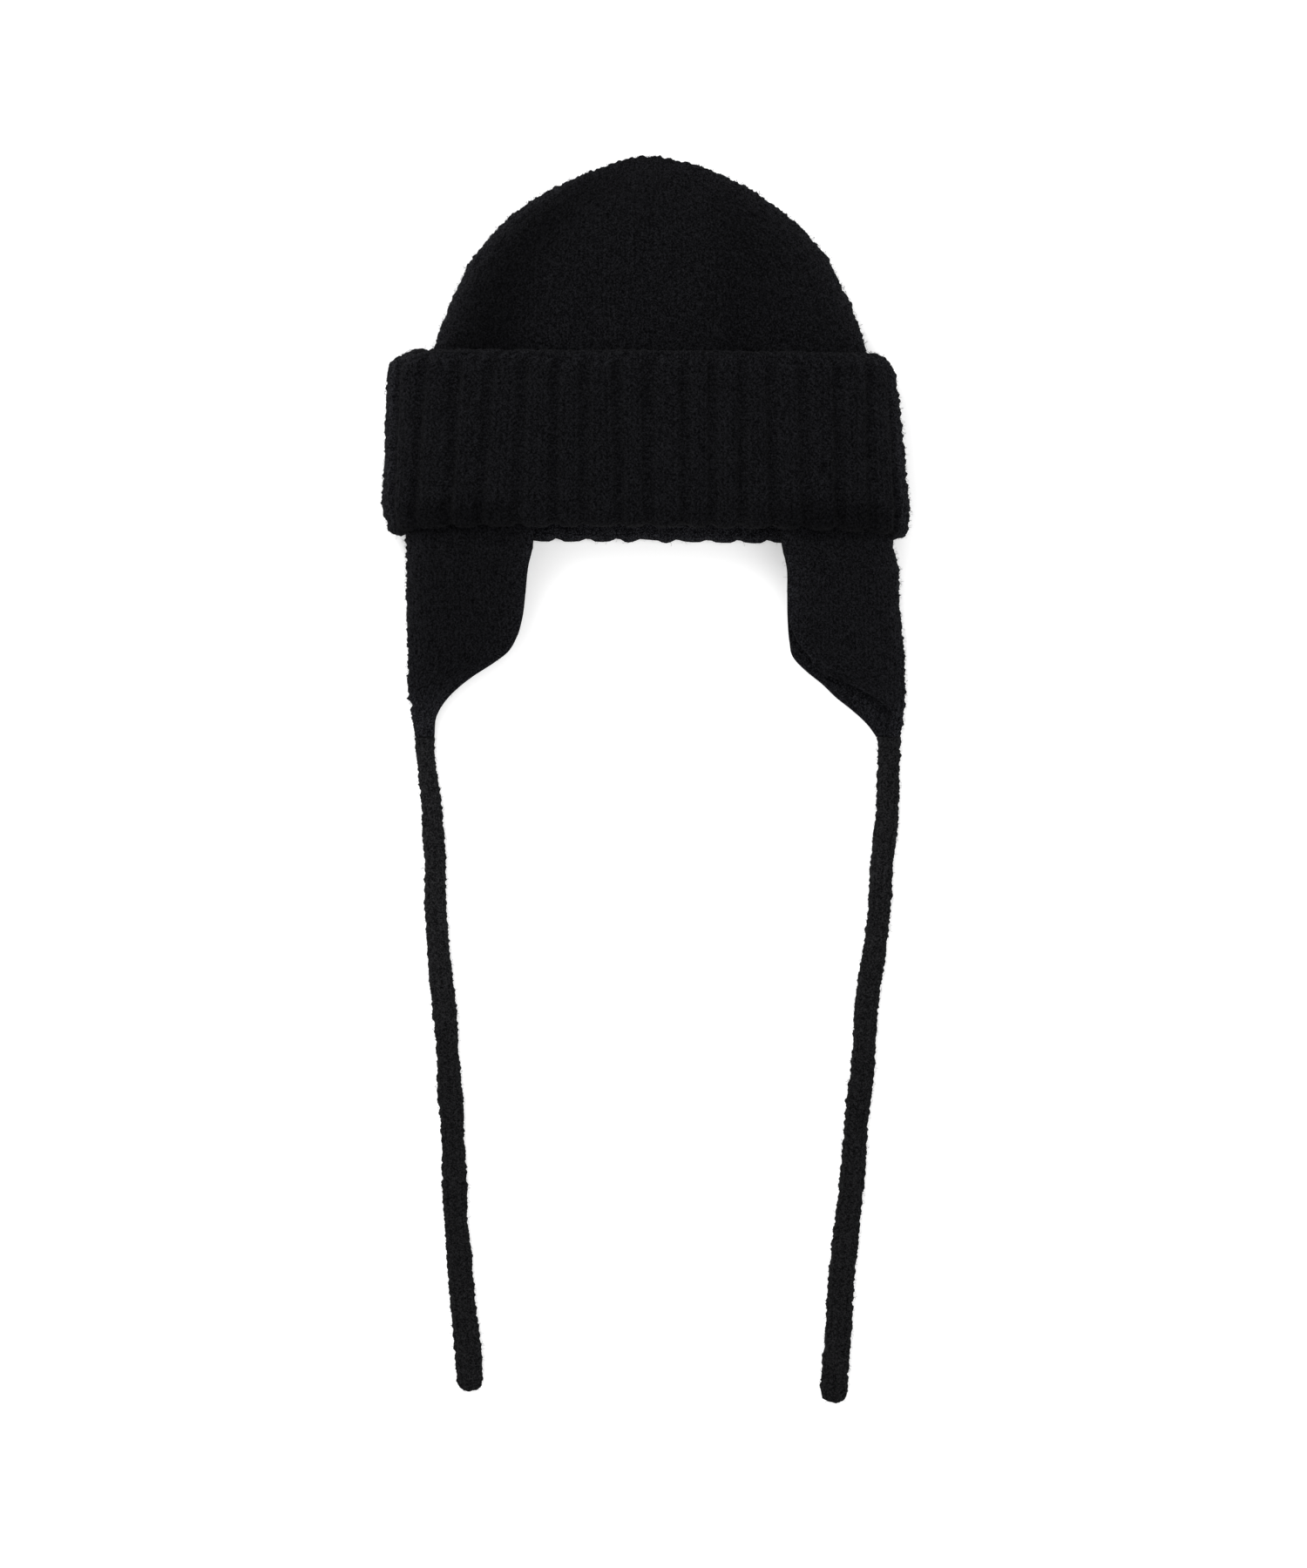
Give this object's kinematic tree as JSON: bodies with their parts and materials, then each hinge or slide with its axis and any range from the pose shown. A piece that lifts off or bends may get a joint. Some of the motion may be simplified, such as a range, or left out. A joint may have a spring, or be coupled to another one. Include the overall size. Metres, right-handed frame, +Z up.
{
  "type": "knit earflap cap",
  "caption": "Black knit cap with a ribbed turned-up cuff, two folded ear flaps and long flat knitted ties, lying flat on its back.",
  "frame": {"origin": "on the surface that the cap lies on, below the middle of the box round the crown, cuff and flaps", "axes": "+X to the viewer's right across the cap, +Y from the ear flaps to the crown's top, +Z up, out of the cap's front"},
  "size_m": [0.2544, 0.6018, 0.0425],
  "materials": {
    "crown_knit": "brushed black wool in plain knit",
    "rib_knit": "brushed black wool in two by two rib",
    "flap_knit": "brushed black wool in fine plain knit",
    "tie_knit": "brushed black wool, knitted as a flat cord"
  },
  "bodies": {
    "root": {"crown": "crown_knit", "cuff": "rib_knit", "flap_left": "flap_knit", "flap_right": "flap_knit", "tie_left": "tie_knit", "tie_right": "tie_knit"}
  },
  "joints": []
}
